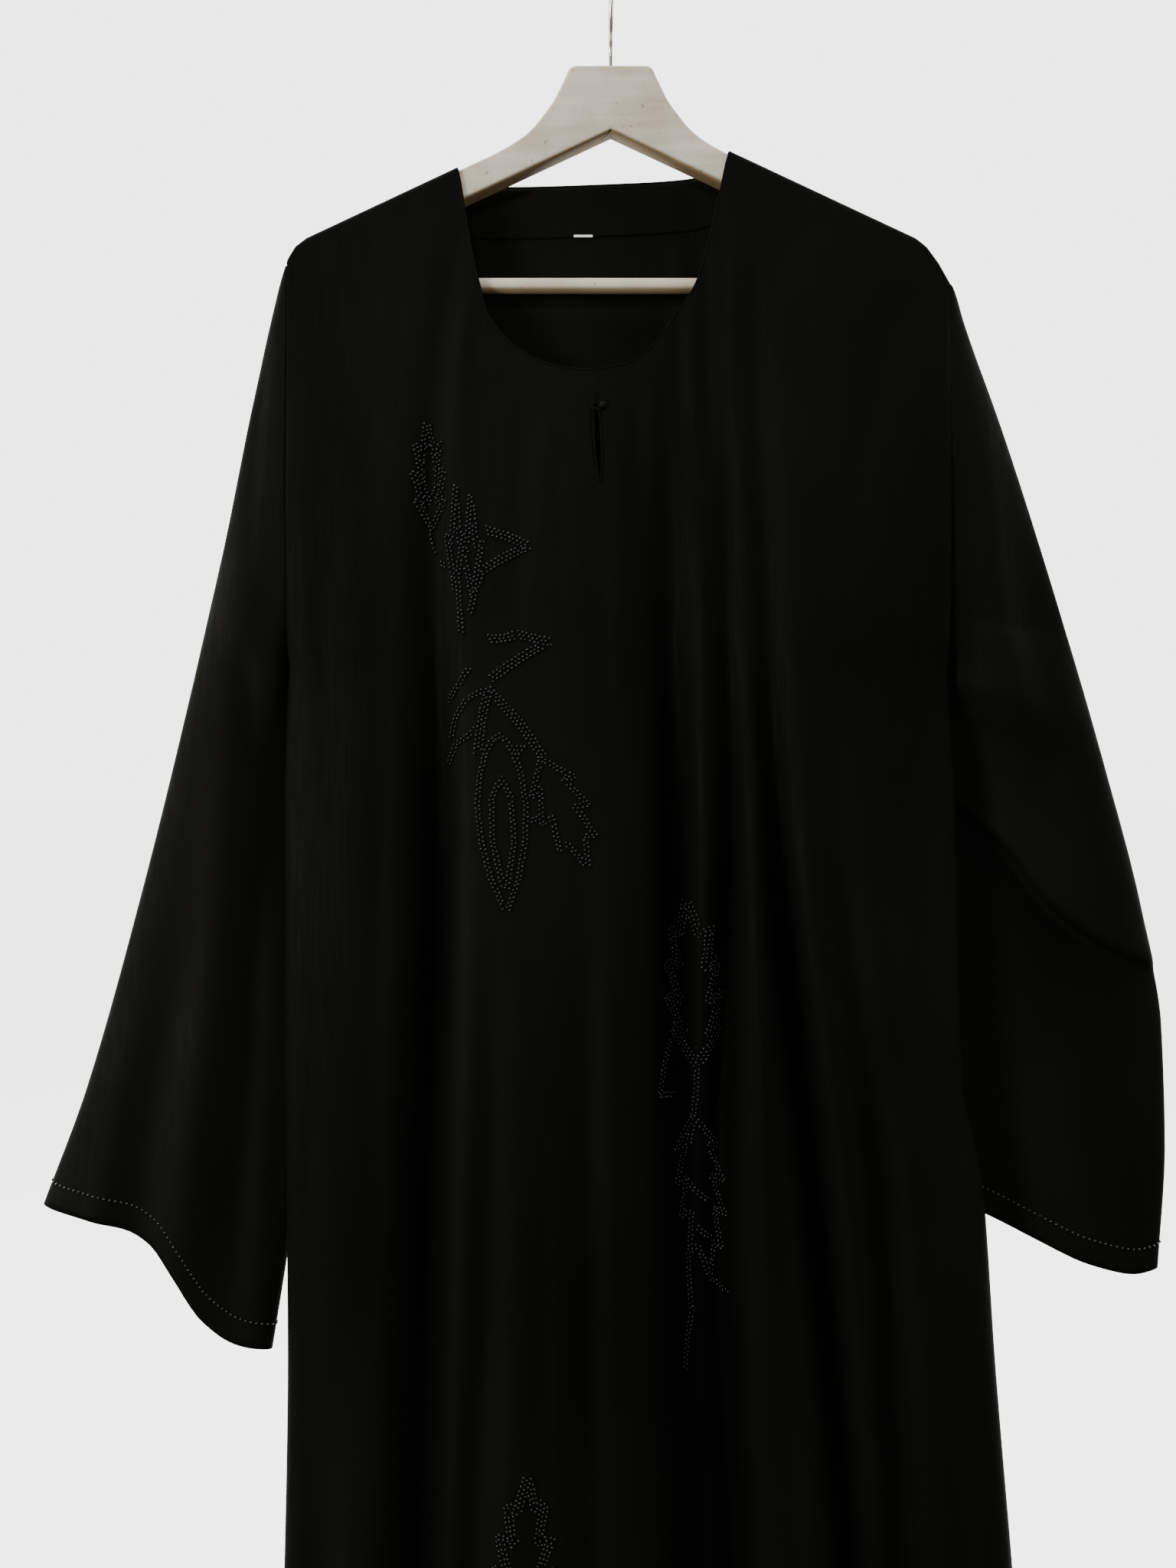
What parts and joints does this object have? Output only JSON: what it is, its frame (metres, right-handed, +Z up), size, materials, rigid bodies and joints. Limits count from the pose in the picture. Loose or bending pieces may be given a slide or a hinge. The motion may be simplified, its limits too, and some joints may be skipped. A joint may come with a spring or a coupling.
{
  "type": "abaya cloak on a clothes hanger",
  "caption": "Long loose black pull-over robe with wide sleeves, round neck with keyhole slit and beaded leaves, hung on a wooden hanger.",
  "frame": {"origin": "inner top of the hook, the point where the hanger hangs", "axes": "+Z up; the front of the garment faces -Y and +X is to the right of someone looking at the front; the hanger lies in the plane y = 0"},
  "size_m": [0.74, 0.0958, 1.5161],
  "materials": {
    "black_crepe": "matte black crepe with a soft sheen",
    "white_tape": "plain white woven tape",
    "painted_wood": "off-white painted wood, satin",
    "hook_wire": "bright plated steel wire",
    "jet_bead": "glossy black glass beads, sewn on",
    "black_thread": "black sewing thread"
  },
  "bodies": {
    "root": {"front": "black_crepe", "back": "black_crepe", "sleeve_left": "black_crepe", "sleeve_right": "black_crepe", "back_neck_facing": "black_crepe", "neck_label": "white_tape", "hanger_body": "painted_wood", "hanger_bar": "painted_wood", "hanger_hook": "hook_wire"}
  },
  "joints": []
}
